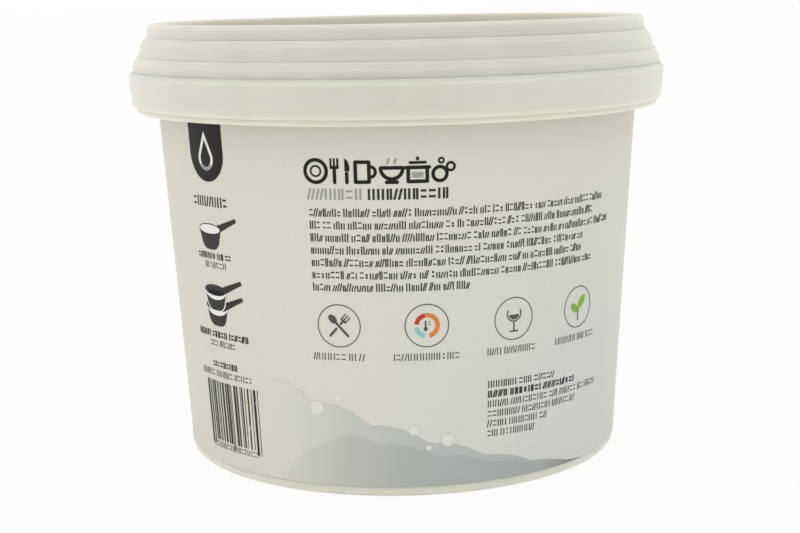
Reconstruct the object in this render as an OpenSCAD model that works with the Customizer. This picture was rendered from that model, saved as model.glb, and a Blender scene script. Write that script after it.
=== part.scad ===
// Round press-lid tub for dishwasher powder, with its printed label, powder and measuring scoop.
// Millimetres, +Z up, the tub's axis on Z, standing on z = 0, with the printed side facing -Y.

/* [Tub] */
// Outer radius of the wall where it would meet the table
base_r = 70.7; // [60:0.1:80]
// Draft of the wall, in degrees from upright
draft = 3.5; // [1:0.1:5]
// Height of the underside of the shelf that carries the collar
shelf_z = 113.2; // [90:0.1:130]
// Height of the neck above the shelf's underside
neck_h = 24.5; // [23:0.1:32]
// How far the neck opens out between shelf and rim
neck_flare = 0.6; // [0.2:0.1:1.2]
// Thickness of the wall
wall_t = 1.3; // [1:0.1:1.6]
// Thickness of the floor
floor_t = 1.6; // [1.2:0.1:2.5]
// Height of the floor's underside above the table
foot_h = 2; // [1:0.1:4]
// Width of the flat ring that the tub stands on
foot_w = 2.4; // [1.5:0.1:5]
// Radius of the corner between wall and foot
corner_r = 2.6; // [2:0.1:5]
// How far below the rim the snap bead's middle lies
bead_drop = 7.2; // [6:0.1:8]
// Height of the snap bead
bead_h = 3.2; // [2.6:0.1:3.6]
// How far the snap bead stands out of the neck
bead_out = 1.4; // [0.8:0.1:1.6]

/* [Collar] */
// Thickness of the collar
collar_t = 1.2; // [1:0.1:1.5]
// How far the collar's edge reaches up past the foot of the lid's roll
collar_rise = 0.3; // [-1:0.1:0.9]
// Fall of the collar's slanted top edge, from its inner to its outer side
collar_fall = 1.6; // [0.8:0.1:2]
// How far the collar leans in on its way down to the shelf
collar_lean = 0.8; // [0.3:0.1:1.2]
// Thickness of the shelf
shelf_t = 1.4; // [1:0.1:2]
// How far the lip hangs under the shelf
lip_drop = 1.8; // [1.6:0.1:3]
// How far the lip is set back from the collar
lip_inset = 2.3; // [2.2:0.1:4]
// Number of webs under the shelf
web_count = 36; // [12:6:48]
// Radius of the moulding gate's mark in the middle of floor and lid
gate_r = 2; // [1:0.1:4]

/* [Lid] */
// Thickness of the lid
lid_t = 1.4; // [1.1:0.1:1.5]
// Depth of the recess that a tub above stands in
recess_h = 7.3; // [4:0.1:8]
// Rise of the lid's raised middle
disc_rise = 0.8; // [0.4:0.1:1.5]
// Width of the flat seat round the lid's raised middle
seat_w = 16.5; // [8:0.5:30]
// Thickness of the top ring's outer wall
ring_t = 1.5; // [1.3:0.1:2]
// How far the first ledge lies below the lid's top
ledge_1_drop = 4.3; // [3.6:0.1:5]
// How far the second ledge lies below the first
ledge_2_drop = 6; // [5.4:0.1:7]
// How far the slope between the ledges runs out
slope_out = 3.35; // [3:0.05:4]
// How far the roll below the second ledge stands out
roll_out = 1.65; // [1.2:0.05:2.4]
// Height of the upright face of the roll
roll_h = 2.5; // [1.6:0.1:3]
// How far the skirt is set in below the roll
skirt_step = 0.3; // [0.2:0.1:0.8]
// Gap between the skirt's lower edge and the shelf
skirt_gap = 1.6; // [0.6:0.1:4]
// How deep the plug reaches into the neck, below the panel
plug_drop = 4.6; // [2:0.1:6]

/* [Label] */
// Thickness of the moulded-in film
label_t = 0.2; // [0.15:0.01:0.4]
// Height of the label's lower edge
label_z0 = 3.4; // [3:0.1:10]
// How far the label's upper edge lies below the lip
label_drop = 0.4; // [0.2:0.1:20]
// Width of the bare seam at the back, in degrees
label_seam = 1.6; // [1:0.1:6]

/* [Powder] */
// How far the powder's mean surface lies below the shelf
powder_drop = 7.7; // [5:0.1:60]
// Height of the powder's gentle mounds
mound_h = 1.6; // [0.5:0.1:3]

/* [Scoop] */
// Inner radius of the scoop's mouth
cup_r = 18; // [14:0.5:20]
// Inner radius of the scoop's floor
cup_floor_r = 12; // [8:0.5:13.5]
// Inner depth of the scoop
cup_depth = 27; // [18:0.5:32]
// Thickness of the scoop's wall
cup_t = 1.2; // [0.8:0.1:1.6]
// Length of the handle from the rim
handle_l = 70; // [40:1:78]
// Width of the handle at the cup
handle_w = 12; // [8:0.5:14]
// Depth of the handle's channel section
handle_h = 3.6; // [2.5:0.1:5]
// Place of the scoop's mouth in plan
scoop_x = -36; // [-40:1:-30]
scoop_y = -24; // [-30:1:-18]
// How far the scoop's mouth stands out of the powder
scoop_up = 5; // [4:0.5:8]
// Rise of the handle, in degrees
scoop_tilt = 5; // [3:0.5:6]

/* [Hidden] */
$fn = 96;
// Gap between the label and the wall behind it
film_gap = 0.02;
// Gap between the powder or scoop and what lies round it
loose_gap = 0.2;
// Gap between the lid and the tub
lid_gap = 0.3;
// Gap between the rim and the lid's ceiling
seat_gap = 0.2;
// Steps in a rounded corner
arc_steps = 5;
// Radius of the small rounded edges of the mouldings
edge_r = 0.5;
// Outer radii of the tub, and the heights that the lid and the fill take from it
function wall_r(z) = base_r + z * tan(draft);
rim_z = shelf_z + neck_h;
neck_r = wall_r(shelf_z) + neck_flare;
channel_z = shelf_z + shelf_t;
powder_z = shelf_z - powder_drop;
function neck_out(z) = wall_r(shelf_z) + (neck_r - wall_r(shelf_z)) * (z - shelf_z) / (rim_z - shelf_z);
// Inner radius of the tub at any height
function bore_r(z) = (z < shelf_z ? wall_r(z) : neck_out(z)) - wall_t;
floor_z = foot_h + floor_t;
bead_z = rim_z - bead_drop;
// Outline of the lid, stepped out from the neck and down from the rim
ceiling_z = rim_z + seat_gap;
lid_top_z = ceiling_z + lid_t;
panel_z = lid_top_z - recess_h;
ring_r = neck_r + lid_gap + ring_t;
ledge_1_z = lid_top_z - ledge_1_drop;
slope_r = ring_r + slope_out;
ledge_2_z = ledge_1_z - ledge_2_drop;
roll_r = slope_r + roll_out;
roll_z = ledge_2_z - 1.3 * roll_out;
roll_low_z = roll_z - roll_h;
skirt_z = channel_z + skirt_gap;
// Collar, one clearance out from the lid's roll and up to its side
collar_r = roll_r + lid_gap + collar_t;
collar_top_z = roll_low_z + collar_rise;
// Inner radius of the leaning collar at any height above the shelf
function collar_in(z) = roll_r + lid_gap - collar_lean * (collar_top_z - z) / (collar_top_z - channel_z);
lip_z = shelf_z - lip_drop;
lip_r = collar_r - lip_inset;
label_z1 = lip_z - label_drop;
lip_t = 1.3;
web_t = 1;
label_arc = 360 - label_seam;

gate_h = 0.5;
// Number of rings and sides that the powder's uneven surface is made of
powder_rings = 9;
powder_sides = 60;

// Arc that rounds corner b of the path a, b, c, as a list of points
function corner(a, b, c, r) =
    let (u = (a - b) / norm(a - b), v = (c - b) / norm(c - b),
         half = acos(u * v) / 2,
         middle = b + (u + v) / norm(u + v) * r / sin(half),
         p = b + u * r / tan(half) - middle,
         q = b + v * r / tan(half) - middle,
         start = atan2(p.y, p.x),
         turn = atan2(p.x * q.y - p.y * q.x, p * q))
    [for (i = [0 : arc_steps]) middle + r * [cos(start + turn * i / arc_steps), sin(start + turn * i / arc_steps)]];

// Outline from points [x, y, corner radius], where a missing radius leaves a sharp corner
function rounded(path) =
    let (n = len(path))
    [for (i = [0 : n - 1])
        let (p = path[i], a = path[(i + n - 1) % n], c = path[(i + 1) % n])
        each (len(p) > 2 && p[2] > 0
              ? corner([a.x, a.y], [p.x, p.y], [c.x, c.y], p[2])
              : [[p.x, p.y]])];

module lathe(path) {
    rotate_extrude() polygon(rounded(path));
}

// Half sections of the tub

function wall_path() =
    let (foot_out = base_r - corner_r, foot_in = foot_out - foot_w, step = foot_h)
    [[0, foot_h - gate_h],
     [gate_r, foot_h - gate_h],
     [gate_r, foot_h],
     [foot_in - step, foot_h, edge_r],
     [foot_in, 0, edge_r],
     [wall_r(0), 0, corner_r],
     [wall_r(shelf_z), shelf_z],
     [neck_r, rim_z, edge_r],
     [neck_r - wall_t, rim_z, edge_r],
     [bore_r(shelf_z), shelf_z],
     [bore_r(floor_t), floor_t, corner_r - wall_t],
     [foot_in + edge_r, floor_t, edge_r],
     [foot_in - step + edge_r, floor_z, edge_r],
     [0, floor_z]];

function bead_path() =
    let (r = neck_out(bead_z))
    [[r - wall_t / 2, bead_z + bead_h / 2],
     [r + bead_out / 3, bead_z + bead_h / 2, edge_r / 2],
     [r + bead_out, bead_z - bead_h / 6, edge_r],
     [r + bead_out / 3, bead_z - bead_h / 2, edge_r / 2],
     [r - wall_t / 2, bead_z - bead_h / 2]];

// Shelf, upright collar round the lid's skirt, and the lip under it
function collar_path() =
    let (root = wall_r(shelf_z) - wall_t / 2, foot = collar_in(channel_z) + collar_t)
    [[root, shelf_z],
     [lip_r - lip_t, shelf_z, edge_r],
     [lip_r - lip_t, lip_z, edge_r / 2],
     [lip_r, lip_z, 1.8 * edge_r],
     [lip_r + edge_r / 2, shelf_z, edge_r / 5],
     [foot, shelf_z, 2.2 * edge_r],
     [collar_r, collar_top_z - collar_fall, 3 * edge_r],
     [collar_r - collar_t, collar_top_z, edge_r / 2],
     [foot - collar_t, channel_z, 2 * edge_r],
     [root, channel_z]];

// The label's own space in the wall, from the seam round to the seam
module label_band(r_in, r_out) {
    rotate([0, 0, 90 + label_seam / 2]) rotate_extrude(angle = label_arc)
        polygon([[wall_r(label_z0) + r_in, label_z0], [wall_r(label_z0) + r_out, label_z0],
                 [wall_r(label_z1) + r_out, label_z1], [wall_r(label_z1) + r_in, label_z1]]);
}

module collar_webs() {
    for (i = [0 : web_count - 1])
        rotate([0, 0, (i + 0.5) * 360 / web_count])
            translate([wall_r(shelf_z) - wall_t / 2, -web_t / 2, lip_z + edge_r])
                cube([lip_r - lip_t / 2 - wall_r(shelf_z) + wall_t / 2, web_t, lip_drop]);
}

module tub() {
    color([0.86, 0.85, 0.80]) {
        difference() {
            union() {
                rotate_extrude() {
                    polygon(rounded(wall_path()));
                    polygon(rounded(bead_path()));
                    polygon(rounded(collar_path()));
                }
                collar_webs();
            }
            label_band(-label_t - film_gap, 1);
        }
    }
}

// Half section of the lid, from the middle of its top round to the middle of its underside
function lid_path() =
    let (plug_r = bore_r(panel_z) - lid_gap,
         plug_z = panel_z - lid_t - plug_drop,
         wall_in = plug_r - lid_t,
         disc_r = wall_in - disc_rise - seat_w,
         step_z = roll_low_z - 2 * skirt_step,
         skirt_r = collar_in(step_z) - lid_gap - skirt_step,
         skirt_low_r = collar_in(skirt_z) - lid_gap - skirt_step,
         tab_r = neck_out(bead_z) + bead_out + lid_gap,
         hook_z = bead_z - bead_h)
    [[0, panel_z + disc_rise - gate_h],
     [gate_r, panel_z + disc_rise - gate_h],
     [gate_r, panel_z + disc_rise],
     [disc_r, panel_z + disc_rise, edge_r],
     [disc_r + disc_rise, panel_z, edge_r],
     [wall_in - edge_r, panel_z, 2 * edge_r],
     [wall_in, lid_top_z, 2 * edge_r],
     [ring_r, lid_top_z, 3 * edge_r],
     [ring_r + edge_r / 2, ledge_1_z, edge_r / 5],
     [ring_r + 1.6 * edge_r, ledge_1_z - edge_r / 5, edge_r / 2],
     [(ring_r + slope_r) / 2 + edge_r, ledge_1_z - 1.8, 4 * edge_r],
     [slope_r, ledge_2_z, edge_r / 5],
     [slope_r + edge_r, ledge_2_z - edge_r / 5, edge_r / 2],
     [roll_r, roll_z, 2 * edge_r],
     [roll_r, roll_low_z, edge_r / 2],
     [skirt_r, step_z],
     [skirt_low_r, skirt_z, edge_r],
     [skirt_low_r - lid_t, skirt_z, edge_r],
     [skirt_r - lid_t, hook_z - 2.2],
     [tab_r, hook_z, edge_r],
     [slope_r - lid_t, ledge_2_z + edge_r, edge_r],
     [(ring_r + slope_r) / 2 + edge_r - lid_t, ledge_1_z - 2.2, 2 * edge_r],
     [neck_r + lid_gap, ledge_1_z - 1],
     [neck_r + lid_gap, ceiling_z, edge_r],
     [neck_r - wall_t - lid_gap, ceiling_z, edge_r],
     [bore_r(plug_z) - lid_gap, plug_z + 1.6],
     [bore_r(plug_z) - lid_gap - edge_r, plug_z, edge_r / 2],
     [wall_in - edge_r, plug_z, edge_r / 2],
     [wall_in - edge_r, panel_z - lid_t, edge_r],
     [disc_r + disc_rise + edge_r / 2, panel_z - lid_t, edge_r],
     [disc_r - edge_r / 2, panel_z + disc_rise - lid_t, edge_r],
     [0, panel_z + disc_rise - lid_t]];

module lid() {
    color([0.88, 0.87, 0.82]) lathe(lid_path());
}

module label() {
    color([0.83, 0.83, 0.80]) label_band(-label_t, 0);
}

// Height of the powder at radius share s and direction a
function powder_top(s, a) =
    powder_z + mound_h * (0.5 * s * cos(a - 40) + 0.5 * s * s * sin(2 * a + 25) - 0.35 * s * cos(3 * a + 70));

// Powder, swept round from the floor up to its surface
module powder_body() {
    n = powder_sides;
    g = loose_gap;
    foot_in = base_r - corner_r - foot_w;
    top_r = bore_r(powder_z - 2 * mound_h) - g;
    // Radius and height of each ring, from the middle of the floor to the wall
    sides = [[foot_in - foot_h + 2 * edge_r, floor_z + g],
             [foot_in + 2 * edge_r, floor_t + g],
             [bore_r(floor_t) - corner_r, floor_t + g],
             [bore_r(floor_z) - g, floor_z]];
    points = concat(
        [[0, 0, floor_z + g]],
        [for (p = sides) for (k = [0 : n - 1]) [p[0] * cos(k * 360 / n), p[0] * sin(k * 360 / n), p[1]]],
        [for (i = [powder_rings : -1 : 1]) for (k = [0 : n - 1])
            let (s = i / powder_rings, a = k * 360 / n) [top_r * s * cos(a), top_r * s * sin(a), powder_top(s, a)]],
        [[0, 0, powder_top(0, 0)]]);
    bands = len(sides) + powder_rings - 1;
    last = len(points) - 1;
    faces = concat(
        [for (k = [0 : n - 1]) [0, 1 + k, 1 + (k + 1) % n]],
        [for (j = [0 : bands - 1]) for (k = [0 : n - 1])
            let (a = 1 + j * n + k, b = 1 + j * n + (k + 1) % n)
            each [[a, a + n, b + n], [a, b + n, b]]],
        [for (k = [0 : n - 1]) [last, 1 + bands * n + (k + 1) % n, 1 + bands * n + k]]);
    polyhedron(points, faces);
}

module powder() {
    color([0.95, 0.95, 0.94]) difference() {
        powder_body();
        scoop_place() {
            cup_solid(cup_t + loose_gap);
            translate([0, 0, -handle_h - loose_gap]) linear_extrude(handle_h + 10)
                handle_plan(-loose_gap);
        }
    }
}

module scoop_place() {
    translate([scoop_x, scoop_y, powder_z + scoop_up]) rotate([0, -scoop_tilt, 0]) children();
}

// The cup as a solid, grown by t all round, with its mouth at z = 0
module cup_solid(t) {
    lathe([[0, -cup_depth - t],
           [cup_floor_r + t, -cup_depth - t, cup_floor_r / 2 + t],
           [cup_r + t, -2 * cup_t - t],
           [cup_r + t + cup_t, -cup_t - t + cup_t],
           [cup_r + t + cup_t, 0],
           [0, 0]]);
}

module cup_hollow() {
    lathe([[0, -cup_depth],
           [cup_floor_r, -cup_depth, cup_floor_r / 2],
           [cup_r, 1],
           [0, 1]]);
}

// Handle seen from above, drawn smaller by inset
module handle_plan(inset) {
    tip_r = handle_w / 2 + 1;
    waist = handle_w - 3;
    x0 = cup_r - 2;
    x1 = cup_r + handle_l;
    polygon([[x0, -handle_w / 2 + inset], [x0, handle_w / 2 - inset],
             [(x0 + x1) / 2, waist / 2 - inset], [x1 - tip_r, tip_r - inset],
             [x1 - tip_r, inset - tip_r], [(x0 + x1) / 2, inset - waist / 2]]);
    translate([x1 - tip_r, 0]) circle(tip_r - inset);
}

module scoop() {
    color([0.93, 0.94, 0.95]) scoop_place() difference() {
        union() {
            cup_solid(cup_t);
            translate([0, 0, -handle_h]) linear_extrude(handle_h) handle_plan(0);
        }
        cup_hollow();
        difference() {
            translate([0, 0, -handle_h - 1]) linear_extrude(handle_h + 1 - cup_t) handle_plan(cup_t);
            cup_solid(cup_t);
        }
    }
}

tub();
lid();
label();
powder();
scoop();
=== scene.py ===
"""Looks for the dishwasher powder tub: moulded polypropylene, printed film label, powder and scoop."""

import math
import random

import bmesh
import bpy
from mathutils import Matrix, Vector, noise
from mathutils.geometry import tessellate_polygon


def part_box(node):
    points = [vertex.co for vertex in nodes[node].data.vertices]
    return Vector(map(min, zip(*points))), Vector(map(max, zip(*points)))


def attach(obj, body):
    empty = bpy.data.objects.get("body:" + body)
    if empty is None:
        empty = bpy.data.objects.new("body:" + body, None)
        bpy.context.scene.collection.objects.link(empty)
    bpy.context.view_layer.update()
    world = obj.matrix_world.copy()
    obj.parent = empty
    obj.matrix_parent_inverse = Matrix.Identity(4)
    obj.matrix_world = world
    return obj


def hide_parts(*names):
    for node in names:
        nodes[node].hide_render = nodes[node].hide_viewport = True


MM = 0.001

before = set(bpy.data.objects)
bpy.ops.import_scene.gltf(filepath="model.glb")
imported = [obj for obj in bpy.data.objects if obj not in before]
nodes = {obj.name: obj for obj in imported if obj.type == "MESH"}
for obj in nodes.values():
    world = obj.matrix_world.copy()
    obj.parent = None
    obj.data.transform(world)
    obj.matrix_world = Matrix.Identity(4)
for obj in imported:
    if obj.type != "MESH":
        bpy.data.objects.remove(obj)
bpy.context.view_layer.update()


# The label's face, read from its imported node

LABEL_RIM = 0.2


def label_rings():
    """Height and radius of the label's lower and upper edge, on its outer face, in millimetres."""
    low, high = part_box("label")
    found = []
    for z in (low.z, high.z):
        rim = [v.co for v in nodes["label"].data.vertices if abs(v.co.z - z) < LABEL_RIM * MM]
        found.append((z / MM, max(math.hypot(p.x, p.y) for p in rim) / MM))
    return found


(LABEL_Z0, LABEL_R0), (LABEL_Z1, LABEL_R1) = label_rings()
PRINT_LIFT = 0.035
LAYER_LIFT = 0.03
PRINT_STEP = 2.0


def wall_r(z):
    """Outer radius of the label at height z, in millimetres."""
    return LABEL_R0 + (LABEL_R1 - LABEL_R0) * (z - LABEL_Z0) / (LABEL_Z1 - LABEL_Z0)


def on_wall(angle, z, x, y, lift):
    """Point of the label x mm round and y mm up from the place at angle (degrees from -Y) and z."""
    height = z + y
    turn = math.radians(angle) + x / wall_r(z)
    r = wall_r(height) + lift
    return Vector((r * math.sin(turn), -r * math.cos(turn), height)) * MM


# Flat shapes in millimetres: each is a list of loops, the first one the outline and the rest its holes

def arc(cx, cy, r, start, end, steps):
    return [(cx + r * math.cos(math.radians(start + (end - start) * i / steps)),
             cy + r * math.sin(math.radians(start + (end - start) * i / steps))) for i in range(steps + 1)]


def disc(cx, cy, r, steps=32):
    return [arc(cx, cy, r, 0, 360 * (steps - 1) / steps, steps - 1)]


def ring(cx, cy, outer, inner, steps=48):
    return disc(cx, cy, outer, steps) + disc(cx, cy, inner, steps)


def ring_part(cx, cy, outer, inner, start, end):
    steps = max(3, round(abs(end - start) / 8))
    return [arc(cx, cy, outer, start, end, steps) + arc(cx, cy, inner, end, start, steps)]


def oval(cx, cy, half_w, half_h, steps=40):
    return [[(cx + half_w * x, cy + half_h * y) for x, y in disc(0, 0, 1, steps)[0]]]


def box(x, y, w, h):
    return [[(x, y), (x + w, y), (x + w, y + h), (x, y + h)]]


def pill(x0, y0, x1, y1, w):
    """Stroke of width w with round ends."""
    turn = math.degrees(math.atan2(y1 - y0, x1 - x0))
    return [arc(x0, y0, w / 2, turn + 90, turn + 270, 6) + arc(x1, y1, w / 2, turn - 90, turn + 90, 6)]


def path(points, w):
    """Strokes of width w along a line of points."""
    return [pill(*points[i], *points[i + 1], w) for i in range(len(points) - 1)]


def moved(shapes, dx, dy, turn=0.0):
    """The shapes turned about their origin, then moved."""
    c = math.cos(math.radians(turn))
    s = math.sin(math.radians(turn))

    def point(x, y):
        return x * c - y * s + dx, x * s + y * c + dy

    return [[[point(x, y) for x, y in loop] for loop in shape] for shape in shapes]


def print_piece(name, placed, mat, layer=0):
    """One printed colour: placed is a list of (angle, z, shapes), laid on the label's face."""
    mesh = bpy.data.meshes.new(name)
    bm = bmesh.new()
    for angle, z, shapes in placed:
        for shape in shapes:
            add_shape(bm, angle, z, shape, PRINT_LIFT + layer * LAYER_LIFT)
    bm.to_mesh(mesh)
    bm.free()
    piece = bpy.data.objects.new(name, mesh)
    bpy.context.scene.collection.objects.link(piece)
    mesh.materials.append(mat)
    for face in mesh.polygons:
        face.use_smooth = True
    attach(piece, "tub")
    return piece


def add_shape(bm, angle, z, shape, lift):
    """Fills one shape, cuts it into strips that follow the curve, and lays it on the wall."""
    part = bmesh.new()
    points = [Vector((x, y, 0)) for loop in shape for x, y in loop]
    corners = [part.verts.new(p) for p in points]
    for tri in tessellate_polygon([[Vector((x, y, 0)) for x, y in loop] for loop in shape]):
        part.faces.new([corners[i] for i in tri])
    left = min(p.x for p in points)
    right = max(p.x for p in points)
    for i in range(1, math.ceil((right - left) / PRINT_STEP)):
        bmesh.ops.bisect_plane(part, geom=part.verts[:] + part.edges[:] + part.faces[:],
                               plane_co=(left + i * PRINT_STEP, 0, 0), plane_no=(1, 0, 0), dist=1e-6)
    part.verts.index_update()
    copied = [bm.verts.new(on_wall(angle, z, v.co.x, v.co.y, lift)) for v in part.verts]
    for face in part.faces:
        made = bm.faces.new([copied[v.index] for v in face.verts])
        made.normal_update()
        out = made.calc_center_median()
        if made.normal.dot(Vector((out.x, out.y, 0))) < 0:
            made.normal_flip()
    part.free()


# Materials

def shader(name, color, roughness, **settings):
    """Principled material with its constants set on the shader itself."""
    mat = bpy.data.materials.new(name)
    mat.use_nodes = True
    bsdf = mat.node_tree.nodes["Principled BSDF"]
    bsdf.inputs["Base Color"].default_value = (*color, 1)
    bsdf.inputs["Roughness"].default_value = roughness
    for key, value in settings.items():
        bsdf.inputs[key.replace("_", " ")].default_value = value
    return mat


def node(mat, kind, **values):
    made = mat.node_tree.nodes.new(kind)
    for key, value in values.items():
        if key in made.inputs:
            made.inputs[key].default_value = value
        else:
            setattr(made, key, value)
    return made


def link(mat, source, target):
    mat.node_tree.links.new(source, target)


def place(mat, scale=(1, 1, 1)):
    """Object coordinates, stretched."""
    coords = node(mat, "ShaderNodeTexCoord")
    mapping = node(mat, "ShaderNodeMapping")
    mapping.inputs["Scale"].default_value = scale
    link(mat, coords.outputs["Object"], mapping.inputs["Vector"])
    return mapping.outputs["Vector"]


def noise_of(mat, vector, scale, detail=3.0):
    tex = node(mat, "ShaderNodeTexNoise")
    tex.inputs["Scale"].default_value = scale
    tex.inputs["Detail"].default_value = detail
    link(mat, vector, tex.inputs["Vector"])
    return tex.outputs["Fac"]


def ramp(mat, value, stops, target):
    """Colour ramp from value to the target socket."""
    made = node(mat, "ShaderNodeValToRGB")
    while len(made.color_ramp.elements) < len(stops):
        made.color_ramp.elements.new(0.5)
    for element, (at, color) in zip(made.color_ramp.elements, stops):
        element.position = at
        element.color = (*color, 1)
    link(mat, value, made.inputs["Fac"])
    link(mat, made.outputs["Color"], target)
    return made


def shaded(color, share):
    return tuple(min(1.0, c * share) for c in color)


def bumps(mat, heights):
    """Bump from a list of (height socket, strength, distance in millimetres), one on another."""
    bsdf = mat.node_tree.nodes["Principled BSDF"]
    normal = None
    for height, strength, distance in heights:
        made = node(mat, "ShaderNodeBump")
        made.inputs["Strength"].default_value = strength
        made.inputs["Distance"].default_value = distance * MM
        link(mat, height, made.inputs["Height"])
        if normal is not None:
            link(mat, normal, made.inputs["Normal"])
        normal = made.outputs["Normal"]
    link(mat, normal, bsdf.inputs["Normal"])


def vary(mat, value, low, high, socket):
    """Lets a shader value run from low to high with a texture."""
    made = node(mat, "ShaderNodeMapRange")
    made.inputs["To Min"].default_value = low
    made.inputs["To Max"].default_value = high
    link(mat, value, made.inputs["Value"])
    link(mat, made.outputs["Result"], mat.node_tree.nodes["Principled BSDF"].inputs[socket])


def round_label(mat, start, end):
    """Socket that runs from 0 at the start angle round to 1 at the end angle."""
    coords = node(mat, "ShaderNodeTexCoord")
    split = node(mat, "ShaderNodeSeparateXYZ")
    link(mat, coords.outputs["Object"], split.inputs["Vector"])
    front = node(mat, "ShaderNodeMath", operation="MULTIPLY")
    front.inputs[1].default_value = -1
    link(mat, split.outputs["Y"], front.inputs[0])
    turn = node(mat, "ShaderNodeMath", operation="ARCTAN2")
    link(mat, split.outputs["X"], turn.inputs[0])
    link(mat, front.outputs["Value"], turn.inputs[1])
    span = node(mat, "ShaderNodeMapRange")
    span.inputs["From Min"].default_value = math.radians(start)
    span.inputs["From Max"].default_value = math.radians(end)
    link(mat, turn.outputs["Value"], span.inputs["Value"])
    return span.outputs["Result"]


def moulded(name, color, roughness, glow, depth, edge):
    """Natural polypropylene, milky and pale at its edges, with flow lines, a soft ripple and fine scuffs."""
    mat = shader(name, color, roughness, Subsurface_Weight=glow, Subsurface_Scale=depth * MM,
                 Subsurface_Radius=(1.0, 0.95, 0.85), IOR=1.49, Specular_IOR_Level=0.3,
                 Sheen_Weight=edge, Sheen_Roughness=0.6, Sheen_Tint=(1.0, 0.975, 0.88, 1))
    bsdf = mat.node_tree.nodes["Principled BSDF"]
    flow = noise_of(mat, place(mat, (1, 1, 0.25)), 60)
    ripple = noise_of(mat, place(mat), 38, 2)
    scuff = noise_of(mat, place(mat, (1, 1, 6)), 420, 4)
    ramp(mat, flow, [(0.3, shaded(color, 0.965)), (0.7, shaded(color, 1.02))], bsdf.inputs["Base Color"])
    vary(mat, scuff, roughness - 0.07, roughness + 0.1, "Roughness")
    bumps(mat, [(ripple, 0.16, 0.3), (scuff, 0.10, 0.06)])
    return mat


# Each with its colour, roughness, share and depth in millimetres of the milky glow, and edge paleness
tub_plastic = moulded("tub_plastic", (0.68, 0.662, 0.555), 0.38, 1.0, 3, 0.4)
lid_plastic = moulded("lid_plastic", (0.628, 0.612, 0.525), 0.36, 1.0, 3, 0.6)
scoop_plastic = moulded("scoop_plastic", (0.78, 0.79, 0.80), 0.30, 0.3, 4, 0.1)


# Where the film turns cooler: heights in millimetres, and angles in degrees where the tint comes and goes
COOL_TOP, COOL_FOOT = 100, 25
COOL_SPANS = ((-15, 45), (82, 56))


def film():
    """Printed film: warm white, cooler low on the right, with a fine grain and an orange-peel gloss."""
    color = (0.665, 0.645, 0.556)
    cool = (0.61, 0.617, 0.588)
    mat = shader("label_film", color, 0.42, IOR=1.45, Specular_IOR_Level=0.15)
    bsdf = mat.node_tree.nodes["Principled BSDF"]
    grain = noise_of(mat, place(mat), 1400, 2)
    ripple = noise_of(mat, place(mat, (1, 1, 0.5)), 45, 2)
    tint = node(mat, "ShaderNodeMix", data_type="RGBA")
    for hue, socket in ((color, 6), (cool, 7)):
        ramp(mat, grain, [(0.3, shaded(hue, 0.985)), (0.7, shaded(hue, 1.015))], tint.inputs[socket])
    link(mat, tint.outputs[2], bsdf.inputs["Base Color"])
    height = node(mat, "ShaderNodeSeparateXYZ")
    link(mat, place(mat), height.inputs["Vector"])
    low = node(mat, "ShaderNodeMapRange", interpolation_type="SMOOTHSTEP")
    low.inputs["From Min"].default_value = COOL_TOP * MM
    low.inputs["From Max"].default_value = COOL_FOOT * MM
    link(mat, height.outputs["Z"], low.inputs["Value"])
    share = low.outputs["Result"]
    for start, end in COOL_SPANS:
        both = node(mat, "ShaderNodeMath", operation="MULTIPLY")
        link(mat, share, both.inputs[0])
        link(mat, round_label(mat, start, end), both.inputs[1])
        share = both.outputs["Value"]
    link(mat, share, tint.inputs["Factor"])
    vary(mat, ripple, 0.38, 0.48, "Roughness")
    bumps(mat, [(ripple, 0.15, 0.2), (grain, 0.05, 0.02)])
    return mat


def wet_ink(name, color, roughness):
    """Face of a printing ink, with the film's ripple, and no grain yet."""
    mat = shader(name, color, roughness, IOR=1.45, Specular_IOR_Level=0.18)
    ripple = noise_of(mat, place(mat, (1, 1, 0.5)), 45, 2)
    vary(mat, ripple, roughness - 0.05, roughness + 0.06, "Roughness")
    bumps(mat, [(ripple, 0.15, 0.2)])
    return mat


def ink(name, color, roughness=0.45):
    """Printing ink with a little unevenness, so it doesn't look like a flat fill."""
    mat = wet_ink(name, color, roughness)
    bsdf = mat.node_tree.nodes["Principled BSDF"]
    grain = noise_of(mat, place(mat), 1600, 3)
    ramp(mat, grain, [(0.25, shaded(color, 0.97)), (0.75, shaded(color, 1.03))], bsdf.inputs["Base Color"])
    return mat


def granules():
    """White powder with fine grains and a few pale blue ones."""
    white = (0.86, 0.86, 0.85)
    bright = (0.90, 0.90, 0.89)
    blue = (0.45, 0.62, 0.82)
    mat = shader("powder_grains", white, 0.9, Specular_IOR_Level=0.2)
    bsdf = mat.node_tree.nodes["Principled BSDF"]
    cells = node(mat, "ShaderNodeTexVoronoi")
    cells.inputs["Scale"].default_value = 900
    link(mat, place(mat), cells.inputs["Vector"])
    picks = node(mat, "ShaderNodeSeparateColor")
    link(mat, cells.outputs["Color"], picks.inputs["Color"])
    stops = [(0.0, shaded(white, 0.93)), (0.55, white), (0.965, bright), (0.975, blue)]
    ramp(mat, picks.outputs["Red"], stops, bsdf.inputs["Base Color"])
    heap = noise_of(mat, place(mat), 260, 4)
    bumps(mat, [(heap, 0.6, 0.8), (cells.outputs["Distance"], 0.9, 0.6)])
    return mat


label_film = film()
powder_grains = granules()
ink_black = ink("ink_black", (0.012, 0.010, 0.008))
ink_dark = ink("ink_dark", (0.032, 0.029, 0.025))
ink_slate = ink("ink_slate", (0.085, 0.08, 0.072))
ink_grey = ink("ink_grey", (0.33, 0.325, 0.30))
ink_light = ink("ink_light", (0.78, 0.77, 0.74))
ink_cream = ink("ink_cream", (0.70, 0.68, 0.60))
ink_orange = ink("ink_orange", (0.66, 0.20, 0.045))
ink_red = ink("ink_red", (0.50, 0.045, 0.03))
ink_teal = ink("ink_teal", (0.24, 0.53, 0.53))
ink_green = ink("ink_green", (0.20, 0.42, 0.04))


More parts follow.
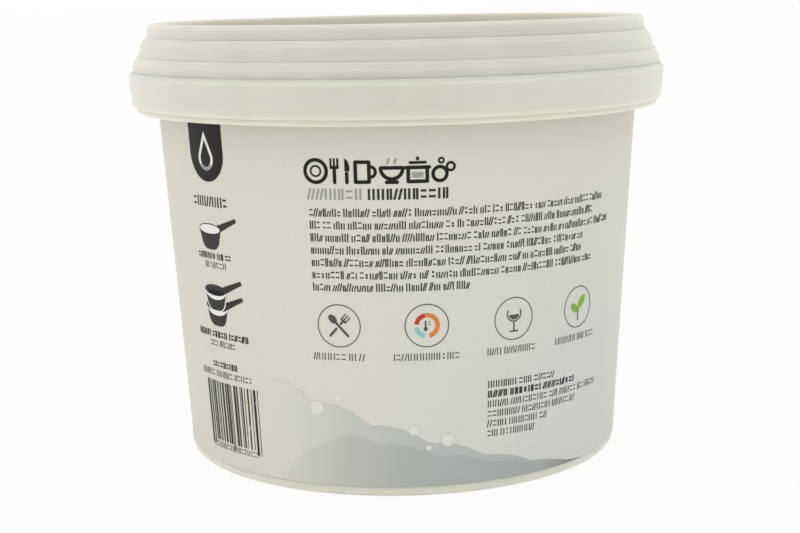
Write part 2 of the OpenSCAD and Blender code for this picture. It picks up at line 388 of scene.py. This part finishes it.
def dress(name, mat):
    """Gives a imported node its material."""
    nodes[name].data.materials.clear()
    nodes[name].data.materials.append(mat)


dress("tub", tub_plastic)
dress("lid", lid_plastic)
dress("label", label_film)
dress("scoop", scoop_plastic)


# Powder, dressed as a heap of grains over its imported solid

GRAIN_EDGE = 1.4 * MM
GRAIN_RELIEF = 0.3 * MM
GRAIN_DEPTH = 12 * MM
GRAIN_SINK = 0.8
COARSE, FINE = 400, 900


def powder_heap():
    """The powder's solid with its upper side cut finer and roughened."""
    mesh = nodes["powder"].data.copy()
    bm = bmesh.new()
    bm.from_mesh(mesh)
    bmesh.ops.remove_doubles(bm, verts=bm.verts, dist=1e-5)
    top = max(v.co.z for v in bm.verts)
    low = top - GRAIN_DEPTH
    for _ in range(3):
        long = [e for e in bm.edges
                if e.calc_length() > 2 * GRAIN_EDGE and min(v.co.z for v in e.verts) > low]
        bmesh.ops.subdivide_edges(bm, edges=long, cuts=1, use_grid_fill=True)
    bmesh.ops.triangulate(bm, faces=[f for f in bm.faces if len(f.verts) > 4])
    for v in bm.verts:
        if v.co.z > low:
            lift = noise.noise(v.co * COARSE) + 0.5 * noise.noise(v.co * FINE) - GRAIN_SINK
            v.co.z += GRAIN_RELIEF * lift
    for face in bm.faces:
        face.smooth = True
    bm.to_mesh(mesh)
    bm.free()
    mesh.materials.clear()
    mesh.materials.append(powder_grains)
    heap = bpy.data.objects.new("powder_heap", mesh)
    bpy.context.scene.collection.objects.link(heap)
    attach(heap, "tub")
    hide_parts("powder")


powder_heap()


# Rows of small marks in place of the words

THIN, PLAIN, BOLD = 0.145, 0.205, 0.25
# Shares of a mark's height
MARK_GAP, WORD_GAP = 0.21, 0.30
MARK_WIDTHS = (0.50, 0.58, 0.62)
TALLER = 1.34
NARROW_ODDS = 0.14


def mark(kind, w, h, t):
    """One mark in a cell w by h, of strokes t wide that never join."""
    if kind == "pair":
        return [box(0, 0, t, h), box(w - t, 0, t, h)]
    if kind == "slant":
        lean = 0.26 * h
        starts = (-0.5 * lean, w - t - 0.5 * lean)
        return [[[(x, 0), (x + t, 0), (x + t + lean, h), (x + lean, h)]] for x in starts]
    if kind == "bars":
        return [box(0, 0.12 * h, w, t), box(0, 0.88 * h - t, w, t)]
    return [box(0.5 * (w - 1.6 * t), y, 1.6 * t, 1.6 * t) for y in (0.12 * h, 0.88 * h - 1.6 * t)]


def marks(width, height, seed, weight=PLAIN, tall=0.0, words=True):
    """Marks that fill a line from x = 0 to width, a share of them taller, in groups like words."""
    rng = random.Random(seed)
    t = weight * height
    kinds = ("pair",) * 6 + ("slant",) * 3 + ("bars",) * 3 + ("dots",)
    made = []
    x = 0.0
    left_in_word = rng.randint(3, 9)
    while True:
        narrow = rng.random() < NARROW_ODDS
        w = t if narrow else height * rng.choice(MARK_WIDTHS)
        h = height * (TALLER if rng.random() < tall else 1.0)
        if x + w > width:
            return made
        made += moved([box(0, 0, t, h)] if narrow else mark(rng.choice(kinds), w, h, t), x, 0)
        x += w + height * MARK_GAP
        left_in_word -= 1
        if words and left_in_word == 0:
            x += height * WORD_GAP
            left_in_word = rng.randint(2, 9)


def row(angle, z, width, height, seed, weight=PLAIN, tall=0.0, words=True):
    """A line of marks, centred on the angle."""
    return angle, z, moved(marks(width, height, seed, weight, tall, words), -width / 2, 0)


# Dosage column at the left: tab, measuring cups and barcode

COLUMN_A = -48.2
TAB_W = 16.6
TAB_FOOT = 93.1
TAB_ROUND = 8.6


def drop_ring(r, t):
    """Outline of a drop, t thick, whose round part has radius r."""
    outer = arc(0, 0, r, 150, 390, 24) + [(0, r * 2.3)]
    share = (r - t) / r
    return [outer, [(x * share, y * share) for x, y in outer]]


def tab():
    half = TAB_W / 2
    top = LABEL_Z1 - TAB_FOOT
    foot = [(half * math.cos(math.radians(t)), TAB_ROUND * (1 + math.sin(math.radians(t))))
            for t in range(180, 361, 6)]
    print_piece("print_tab", [(COLUMN_A, TAB_FOOT, [[[(-half, top)] + foot + [(half, top)]]])], ink_black)
    emblem = TAB_FOOT + 7.0
    print_piece("print_tab_drop", [(COLUMN_A, emblem, [drop_ring(3.6, 1.1)])], ink_light, 1)
    print_piece("print_tab_level", [(COLUMN_A, emblem, [ring_part(0, 0, 3.62, 2.46, 215, 325)])], ink_grey, 2)


CUP_HALF = 5.6
MOUTH_HALF = 1.7
CUP_FOOT = 1.2
CUP_ROUND = 3.4
CUP_DEEP = 2.9
PAIR_STEP = 5.0


def cup_body(grown=0.0):
    """Side of a measuring cup under the middle of its mouth."""
    r = CUP_ROUND + grown
    half = CUP_HALF + grown
    return [arc(-CUP_FOOT, -CUP_DEEP, r, 196, 270, 8) + arc(CUP_FOOT, -CUP_DEEP, r, 270, 344, 8)
            + [(half, 0), (-half, 0)]]


def cup():
    handle = [[(3.9, 1.3), (12.4, 4.1), (12.9, 3.0), (5.5, -0.5)]]
    return [cup_body(), oval(0, 0, CUP_HALF, MOUTH_HALF), handle]


def cup_gleam():
    """Pale crescent under a cup's mouth."""
    upper = [(CUP_HALF * math.cos(math.radians(t)), MOUTH_HALF * math.sin(math.radians(t)))
             for t in range(180, 361, 9)]
    return [[upper + [(x, y * 1.75) for x, y in reversed(upper)]]]


def doses():
    one_z, two_z = 78.6, 59.6
    cup_a = COLUMN_A - 1.1
    low = two_z - PAIR_STEP
    print_piece("print_cups", [(cup_a, one_z, cup()), (cup_a, low, cup())], ink_dark)
    print_piece("print_cup_light", [(cup_a, one_z, [oval(0, 0, CUP_HALF - 0.35, MOUTH_HALF - 0.3)]),
                                    (cup_a, low, cup_gleam()),
                                    (cup_a, two_z, [cup_body(0.45)])], ink_light, 1)
    print_piece("print_cup_upper", [(cup_a, two_z, cup())], ink_dark, 2)
    print_piece("print_cup_gleam", [(cup_a, two_z, cup_gleam())], ink_light, 3)


tab()
doses()
print_piece("print_dosage_words", [
    row(COLUMN_A, 85.5, 17.6, 3.15, 3, 0.19, words=False),
    row(COLUMN_A, 69.3, 18.0, 2.0, 5, BOLD),
    row(COLUMN_A, 66.5, 10.5, 2.0, 6, THIN),
    row(COLUMN_A, 44.5, 26.0, 2.1, 7, BOLD),
    row(COLUMN_A, 41.6, 13.6, 2.0, 8, THIN),
    row(COLUMN_A, 34.9, 12.5, 2.0, 9, BOLD, words=False),
    row(COLUMN_A, 31.8, 26.9, 2.1, 10, THIN),
], ink_dark)


BARCODE_A = -47.05
BARCODE_Z = 10.8
BARCODE_W = 24.9
BARCODE_H = 19.4
GUARD_DROP = 1.6
BAR_RUNS = 21


def barcode():
    """Bars of one to three units by chance, with longer guard bars at both ends and in the middle."""
    rng = random.Random(17)
    runs = [rng.choice((1, 1, 2, 2, 3)) for _ in range(2 * BAR_RUNS - 1)]
    guards = (0, 2, BAR_RUNS - 1, BAR_RUNS + 1, 2 * BAR_RUNS - 4, 2 * BAR_RUNS - 2)
    unit = BARCODE_W / sum(runs)
    x = -BARCODE_W / 2
    made = []
    for i, run in enumerate(runs):
        if i % 2 == 0:
            drop = GUARD_DROP if i in guards else 0
            made.append(box(x, -drop, run * unit, BARCODE_H + drop))
        x += run * unit
    return made


print_piece("print_barcode", [(BARCODE_A, BARCODE_Z, barcode()),
                              row(BARCODE_A, BARCODE_Z - 2.5, 23.4, 2.0, 12, THIN, words=False)], ink_dark)


# Heading: a row of tableware signs

HEADING_A = -4.1
HEADING_Z = 98.2
SIGN_STEP = 7.35
STROKE = 1.05


def plate():
    return [ring(0, 0, 3.75, 3.75 - STROKE), ring(0, 0, 1.75, 1.2)]


def fork_and_knife():
    fork = [pill(x, 3.5, x, 1.5, 0.6) for x in (-2.75, -1.75, -0.75)]
    fork += [pill(-2.7, 1.1, -0.8, 1.1, 0.9), pill(-1.75, 0.9, -1.75, -3.2, 1.05)]
    blade = [[(1.25, 0), (1.25, 3.75), (2.2, 3.0), (2.7, 1.4), (2.7, 0)]]
    return fork + [blade, pill(1.85, -0.6, 1.85, -3.2, 1.05)]


def mug():
    side = path([(-3.0, 2.6), (-3.0, -3.1), (0.9, -3.1), (0.9, 2.6), (-3.0, 2.6)], STROKE)
    return side + [ring_part(1.2, -0.2, 1.95, 1.05, -90, 90)]


def bowl():
    return [ring_part(0, 0.9, 3.7, 3.7 - STROKE, 180, 360), pill(-3.1, 0.9, 3.1, 0.9, STROKE),
            pill(-1.5, -3.2, 1.5, -3.2, STROKE)]


def pot():
    sides = path([(-2.7, 0.9), (-2.7, -3.1), (2.7, -3.1), (2.7, 0.9)], STROKE)
    brim = pill(-3.3, 0.9, 3.3, 0.9, STROKE)
    cover = pill(-2.2, 2.3, 2.2, 2.3, 0.8)
    return sides + [brim, cover, pill(0, 3.4, 0, 3.5, 1.0)]


def bubbles():
    return [ring(-1.0, -1.1, 2.5, 1.5), ring(2.1, 0.9, 1.5, 0.75), ring(-0.6, 2.7, 1.0, 0.4)]


def heading():
    signs = (plate(), fork_and_knife(), mug(), bowl(), pot(), bubbles())
    first = -(len(signs) - 1) / 2 * SIGN_STEP
    dark = [shape for i, sign in enumerate(signs) for shape in moved(sign, first + i * SIGN_STEP, 0)]
    print_piece("print_heading", [(HEADING_A, HEADING_Z, dark)], ink_black)
    steam = path([(-1.2, 2.3), (-0.8, 3.4)], 0.7) + path([(0.8, 2.3), (1.2, 3.4)], 0.7)
    steam = moved(steam, first + 3 * SIGN_STEP, 0)
    water = moved([box(-1.6, -2.0, 3.2, 1.5)], first + 4 * SIGN_STEP, 0)
    print_piece("print_heading_grey", [(HEADING_A, HEADING_Z, steam + water)], ink_grey)


heading()


# Sub-heading in two tones and the paragraph under it

TEXT_A = -19.8
SUBHEADING_Z = 89.95
SUBHEADING_H = 3.2
PARAGRAPH_Z = 85.0
LINE_STEP = 3.65
LINE_WIDTHS = (98.0, 92.8, 102.6, 87.7, 87.7, 93.4, 47.8)


def text():
    first = marks(17.0, SUBHEADING_H, 21, 0.19, words=False)
    second = moved(marks(24.2, SUBHEADING_H, 22, 0.215, words=False), 17.6, 0)
    lines = [(TEXT_A, PARAGRAPH_Z - i * LINE_STEP, marks(width, 1.8, 30 + i, PLAIN, tall=0.4))
             for i, width in enumerate(LINE_WIDTHS)]
    print_piece("print_subheading_grey", [(TEXT_A, SUBHEADING_Z, first)], ink_grey)
    print_piece("print_subheading", [(TEXT_A, SUBHEADING_Z, second)], ink_dark)
    print_piece("print_paragraph", lines, ink_dark)


text()


# Row of round icons

ICON_A = (-14.15, 5.8, 26.7, 46.7)
ICON_Z = 52.75
ICON_R = 6.5
ICON_LINE = 0.3
GAUGE_OUT, GAUGE_IN = 3.75, 2.45
CAPTION_Z = 42.3
CAPTION_WIDTHS = (16.1, 19.4, 17.0, 19.4)


def fork_and_spoon():
    spoon = [oval(0, 2.7, 1.05, 1.55), pill(0, 1.4, 0, -4.0, 0.75)]
    fork = [pill(x, 2.4, x, 4.1, 0.36) for x in (-0.8, 0, 0.8)]
    fork += [pill(-0.8, 2.1, 0.8, 2.1, 0.6), pill(0, 2.0, 0, 0.9, 0.7), pill(0, -1.2, 0, -4.0, 0.75)]
    return moved(spoon, 0, 0, 42) + moved(fork, 0, 0, -42)


def wine_glass():
    bowl_line = [ring_part(0, 1.5, 2.5, 2.1, 150, 390)]
    wine = [[arc(0, 1.5, 1.8, 190, 350, 16)]]
    return bowl_line + wine + [pill(0, -1.0, 0, -3.7, 0.5), pill(-1.3, -3.8, 1.3, -3.8, 0.45)]


def thermometer():
    """Small sign in the middle of the gauge: a bulb, its tube and two ticks."""
    tube = pill(-0.4, -0.8, -0.4, 1.3, 0.5)
    return [disc(-0.4, -1.0, 0.62, 20), tube, box(0.35, 0.2, 0.7, 0.24), box(0.35, 0.9, 0.7, 0.24)]


def leaf(length):
    """Pointed leaf standing on the origin."""
    bend = length * 0.62
    side = math.sqrt(bend * bend - length * length / 4)
    half = math.degrees(math.asin(length / 2 / bend))
    middle = length / 2
    return [arc(-side, middle, bend, -half, half, 10) + arc(side, middle, bend, 180 - half, 180 + half, 10)]


def gauge(name, start, end, mat):
    """One part of the round gauge in the second icon, from one angle to the next."""
    print_piece(name, [(ICON_A[1], ICON_Z, [ring_part(0, 0, GAUGE_OUT, GAUGE_IN, start, end)])], mat)


def icons():
    care, heat, shine, nature = ICON_A
    circle = [ring(0, 0, ICON_R, ICON_R - ICON_LINE, 72)]
    print_piece("print_icon_rings", [(a, ICON_Z, circle) for a in ICON_A], ink_slate)
    stalk = [pill(0, -4.0, 0, -0.6, 0.5)]
    signs = ((care, fork_and_spoon()), (shine, wine_glass()), (nature, stalk), (heat, thermometer()))
    print_piece("print_icons", [(a, ICON_Z, sign) for a, sign in signs], ink_slate)
    gauge("print_gauge_orange", -78, 98, ink_orange)
    gauge("print_gauge_red", 100, 172, ink_red)
    gauge("print_gauge_teal", 190, 258, ink_teal)
    leaves = moved([leaf(4.6)], 0.1, -1.6, 52) + moved([leaf(5.2)], -0.1, -0.6, -38)
    print_piece("print_leaves", [(nature, ICON_Z, leaves)], ink_green)
    print_piece("print_captions", [row(a, CAPTION_Z, width, 2.15, 41 + i, THIN, words=i != 1)
                                   for i, (a, width) in enumerate(zip(ICON_A, CAPTION_WIDTHS))], ink_slate)


icons()


# Small print low on the right

ADDRESS_A = 20.35
ADDRESS_Z = 32.4
ADDRESS_STEP = 3.04
# Width and weight of each row
ADDRESS_ROWS = ((24.7, 0.17), (34.9, BOLD), (45.1, THIN), (34.6, THIN), (21.8, THIN), (17.2, THIN))
print_piece("print_address", [(ADDRESS_A, ADDRESS_Z - i * ADDRESS_STEP, marks(width, 2.1, 50 + i, weight))
                              for i, (width, weight) in enumerate(ADDRESS_ROWS)], ink_dark)


# Waves and bubbles along the label's foot

WAVE_START = -44.0
WAVE_END = 51.0
NEAR_LATER = 12
# Angle, height and radius of each bubble of foam
FOAM = ((-20.5, 27.5, 2.2), (-15.0, 31.0, 1.2), (2.5, 21.0, 1.5), (10.5, 17.5, 1.9), (6.0, 15.5, 0.8))
# Share of the way round, and the colour there
WAVE_COLORS = ((0.0, (0.662, 0.642, 0.555)), (0.18, (0.635, 0.628, 0.548)), (0.32, (0.54, 0.555, 0.505)),
               (0.48, (0.465, 0.495, 0.465)), (0.68, (0.43, 0.455, 0.44)), (0.84, (0.40, 0.42, 0.41)),
               (0.93, (0.29, 0.305, 0.30)), (1.0, (0.15, 0.16, 0.165)))


def fade(name, share, turn):
    """Ink that runs through the wave's colours round the label, at most a share of their brightness."""
    mat = wet_ink(name, shaded(WAVE_COLORS[0][1], share), 0.42)
    stops = []
    for at, color in WAVE_COLORS:
        strength = min(1, 2.2 * at) * (1.6 - at)
        stops.append((at, shaded(color, 1 + (share - 1) * strength)))
    run = round_label(mat, WAVE_START + turn, WAVE_END + turn)
    ramp(mat, run, stops, mat.node_tree.nodes["Principled BSDF"].inputs["Base Color"])
    return mat


def field(top, start, end, steps=80):
    """Field from the label's lower edge up to top(share) between two angles."""
    span = math.radians(end - start) * wall_r(LABEL_Z0)
    upper = [(span * (i / steps - 0.5), max(0.03, top(i / steps))) for i in range(steps + 1)]
    return (start + end) / 2, LABEL_Z0, [[[(-span / 2, 0.01)] + upper + [(span / 2, 0.01)]]]


def crest(s, count, at):
    """Row of rounded crests with sharp troughs, from 0 to 1."""
    return abs(math.sin(math.pi * (count * s + at)))


def swell(s):
    """Height of the far wave: a long slope with rounded crests that die out."""
    rise = math.sin(0.5 * math.pi * min(1, s / 0.14))
    return rise * (36 * (1 - s) ** 1.32 + 3.2 * crest(s, 7, 0.3) * (1 - s) ** 0.8)


def near_swell(s):
    """Height of the near wave."""
    rise = math.sin(0.5 * math.pi * min(1, s / 0.30))
    return rise * (21 * (1 - s) ** 1.25 + 2.6 * crest(s, 6, 0.1) * (1 - s))


def waves(side, turn):
    """Two swells and their foam, turned round the label."""
    start, end = WAVE_START + turn, WAVE_END + turn
    print_piece(f"print_wave_far_{side}", [field(swell, start, end)], fade(f"ink_wave_far_{side}", 1.0, turn))
    print_piece(f"print_wave_near_{side}", [field(near_swell, start + NEAR_LATER, end)],
                fade(f"ink_wave_near_{side}", 0.88, turn), 1)
    print_piece(f"print_foam_{side}", [(a + turn, z, [disc(0, 0, r)]) for a, z, r in FOAM], ink_cream, 2)


for side, turn in (("info", 0), ("right", 126), ("left", -126)):
    waves(side, turn)


# The label's two other sides: a place setting with bubbles, clear of the seam at the back

SETTING_A = (130, -130)
SETTING_Z = 68.0
# Place and radius of each bubble over the plate
SETTING_BUBBLES = ((-12.0, 27.0, 2.6), (-6.0, 32.5, 1.5), (9.5, 28.5, 3.2), (15.5, 34.0, 1.7),
                   (2.5, 25.5, 1.2))
BUBBLE_LINE = 0.55


def big_fork():
    tines = [pill(x, 10, x, 21, 1.8) for x in (-4.1, -1.37, 1.37, 4.1)]
    head = [[arc(0, 10.4, 5.0, 180, 360, 20)]]
    end = arc(0, -18.5, 2.0, 180, 360, 12)[1:-1]
    stem = [[[(-1.15, 6.5), (-2.0, -18.5)] + end + [(2.0, -18.5), (1.15, 6.5)]]]
    return tines + head + stem


def big_knife():
    edge = [(-1.8 + 4.6 * math.cos(math.radians(t)), 8 + 14 * math.sin(math.radians(t)))
            for t in range(0, 91, 9)]
    blade = [[[(-1.8, -1.4), (2.8, -1.4)] + edge]]
    return blade + [pill(0.4, -4.4, 0.4, -18.4, 3.9)]


def place_settings():
    cutlery = moved(big_fork(), -25, 0) + moved(big_knife(), 25, 0)
    plates = [ring(0, 0, 17, 15.7, 96), ring(0, 0, 11, 10.4, 96)]
    rising = [ring(x, y, r, r - BUBBLE_LINE) for x, y, r in SETTING_BUBBLES]
    print_piece("print_setting_cutlery", [(a, SETTING_Z, cutlery) for a in SETTING_A], ink_black)
    print_piece("print_setting_plate", [(a, SETTING_Z, plates) for a in SETTING_A], ink_slate)
    print_piece("print_setting_bubbles", [(a, SETTING_Z, rising) for a in SETTING_A], ink_teal)


place_settings()


# Bare strip of the tub's wall between the label's ends

SEAM_TURN = 1.6
SEAM_LAYER = -6


def seam():
    """Strip that closes the seam's shadow, between the label's face and the wall."""
    w = math.radians(SEAM_TURN) * wall_r(LABEL_Z0)
    strip = print_piece("seam_strip", [(180, LABEL_Z0, [box(-w / 2, 0, w, LABEL_Z1 - LABEL_Z0)])],
                        moulded("seam_plastic", (0.665, 0.645, 0.545), 0.38, 0.0, 5, 0.1), SEAM_LAYER)


seam()


# Pale ring that fills the running gap between the lid's roll and the collar: painted light in place of the
# shade in that crease

# Outward from the roll's side, and upward from its foot
GAP_IN, GAP_OUT = 0.06, 0.24
GAP_TOP, GAP_FOOT = 0.15, -0.3
GAP_STEPS = 360
ROLL_EDGE = 0.1


def paint_gap_glow():
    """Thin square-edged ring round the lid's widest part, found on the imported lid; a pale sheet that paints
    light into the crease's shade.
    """
    roll_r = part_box("lid")[1].x / MM
    corners = (v.co for v in nodes["lid"].data.vertices)
    foot = min(p.z for p in corners if math.hypot(p.x, p.y) > (roll_r - ROLL_EDGE) * MM) / MM
    section = [(GAP_OUT, GAP_FOOT), (GAP_OUT, GAP_TOP), (GAP_IN, GAP_TOP), (GAP_IN, GAP_FOOT)]
    points = [Vector(((roll_r + x) * math.cos(turn), (roll_r + x) * math.sin(turn), foot + z)) * MM
              for turn in (2 * math.pi * i / GAP_STEPS for i in range(GAP_STEPS)) for x, z in section]
    faces = []
    for i in range(GAP_STEPS):
        here, there = 4 * i, 4 * ((i + 1) % GAP_STEPS)
        for k in range(4):
            up = (k + 1) % 4
            faces.append((here + k, here + up, there + up, there + k))
    mesh = bpy.data.meshes.new("collar_gap_glow")
    mesh.from_pydata(points, [], faces)
    bm = bmesh.new()
    bm.from_mesh(mesh)
    bmesh.ops.recalc_face_normals(bm, faces=bm.faces)
    bm.to_mesh(mesh)
    bm.free()
    # Paler than the tub and lid: painted light standing in for the glow through the translucent plastic
    mesh.materials.append(moulded("gap_glow_plastic", (0.80, 0.78, 0.68), 0.45, 0.0, 3, 0.1))
    piece = bpy.data.objects.new("collar_gap_glow", mesh)
    bpy.context.scene.collection.objects.link(piece)
    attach(piece, "tub")


paint_gap_glow()


# Camera at the photograph's viewing angle

PHOTO_W = 800
# Distance from the camera to its picture, in the photograph's pixels
FOCAL_PX = 1548.1
SENSOR = 36.0
CLIP_START = 0.01
CAMERA_AT = Vector((0.0, -0.5110, 0.1485))
PITCH = 79.86
ROLL = -1.13


def camera():
    """Pinhole that sees the tub as the photograph does, a little from above and turned by its slight tilt."""
    data = bpy.data.cameras.new("camera")
    data.sensor_width = SENSOR
    data.lens = FOCAL_PX / PHOTO_W * SENSOR
    data.clip_start = CLIP_START
    made = bpy.data.objects.new("camera", data)
    turn = Matrix.Rotation(math.radians(PITCH), 4, "X") @ Matrix.Rotation(math.radians(ROLL), 4, "Z")
    made.matrix_world = Matrix.Translation(CAMERA_AT) @ turn
    bpy.context.scene.collection.objects.link(made)
    bpy.context.scene.camera = made


camera()


# Studio: pale floor, white surround and soft lamps

FLOOR_SIZE = 30.0
FILL = 0.64
FLOOR_GLOW = 0.87
FLOOR_BOUNCE = 0.13
FILL_COLOR = (0.99, 0.99, 1.0, 1)


def floor_white():
    """Light table: it throws light up, and the camera sees it as white with a soft shadow."""
    mat = shader("floor_white", (0.96, 0.96, 0.955), 0.9, Specular_IOR_Level=0.1)
    lit = mat.node_tree.nodes["Principled BSDF"]
    lit.inputs["Emission Color"].default_value = (1, 1, 1, 1)
    glow = node(mat, "ShaderNodeEmission")
    glow.inputs["Strength"].default_value = 1.0
    rays = node(mat, "ShaderNodeLightPath")
    share = node(mat, "ShaderNodeMath", operation="MULTIPLY")
    share.inputs[1].default_value = FLOOR_GLOW
    link(mat, rays.outputs["Is Camera Ray"], share.inputs[0])
    bounce = node(mat, "ShaderNodeMath", operation="MULTIPLY_ADD")
    bounce.inputs[1].default_value = -FLOOR_BOUNCE
    bounce.inputs[2].default_value = FLOOR_BOUNCE
    link(mat, rays.outputs["Is Camera Ray"], bounce.inputs[0])
    link(mat, bounce.outputs["Value"], lit.inputs["Emission Strength"])
    mix = node(mat, "ShaderNodeMixShader")
    link(mat, share.outputs["Value"], mix.inputs["Fac"])
    link(mat, lit.outputs["BSDF"], mix.inputs[1])
    link(mat, glow.outputs["Emission"], mix.inputs[2])
    link(mat, mix.outputs["Shader"], mat.node_tree.nodes["Material Output"].inputs["Surface"])
    return mat


def studio():
    """Floor, and a surround that is white where it is seen or mirrored and dimmer as light."""
    mesh = bpy.data.meshes.new("floor")
    h = FLOOR_SIZE / 2
    mesh.from_pydata([(-h, -h, 0), (h, -h, 0), (h, h, 0), (-h, h, 0)], [], [(0, 1, 2, 3)])
    floor = bpy.data.objects.new("floor", mesh)
    bpy.context.scene.collection.objects.link(floor)
    mesh.materials.append(floor_white())

    world = bpy.data.worlds.new("studio")
    bpy.context.scene.world = world
    world.use_nodes = True
    tree = world.node_tree
    tree.nodes.clear()
    out = tree.nodes.new("ShaderNodeOutputWorld")
    rays = tree.nodes.new("ShaderNodeLightPath")
    seen = tree.nodes.new("ShaderNodeBackground")
    seen.inputs["Color"].default_value = (1, 1, 1, 1)
    seen.inputs["Strength"].default_value = 1.0
    fill = tree.nodes.new("ShaderNodeBackground")
    fill.inputs["Color"].default_value = FILL_COLOR
    fill.inputs["Strength"].default_value = FILL
    mix = tree.nodes.new("ShaderNodeMixShader")
    seen_by = rays.outputs["Is Camera Ray"]
    for kind in ("Is Glossy Ray", "Is Transmission Ray"):
        either = tree.nodes.new("ShaderNodeMath")
        either.operation = "MAXIMUM"
        tree.links.new(seen_by, either.inputs[0])
        tree.links.new(rays.outputs[kind], either.inputs[1])
        seen_by = either.outputs["Value"]
    tree.links.new(seen_by, mix.inputs["Fac"])
    tree.links.new(fill.outputs["Background"], mix.inputs[1])
    tree.links.new(seen.outputs["Background"], mix.inputs[2])
    tree.links.new(mix.outputs["Shader"], out.inputs["Surface"])


def sun(name, toward, strength, color, spread):
    """Broad soft lamp far away, shining from the given direction, so the floor is lit evenly."""
    data = bpy.data.lights.new(name, "SUN")
    data.energy = strength
    data.angle = math.radians(spread)
    data.color = color
    made = bpy.data.objects.new(name, data)
    made.rotation_euler = Vector(toward).to_track_quat("Z", "Y").to_euler()
    bpy.context.scene.collection.objects.link(made)


studio()
sun("left", (-1.0, -0.35, 0.50), 0.37, (1.0, 0.985, 0.95), 70)
sun("right", (0.90, -0.75, 0.50), 0.23, (0.86, 0.94, 1.0), 70)
sun("front", (0.0, -1.0, 0.25), 0.12, (1.0, 1.0, 0.98), 60)
sun("above", (0.05, -0.25, 1.0), 0.82, (1.0, 1.0, 0.99), 80)

bpy.context.scene.view_settings.view_transform = "Standard"
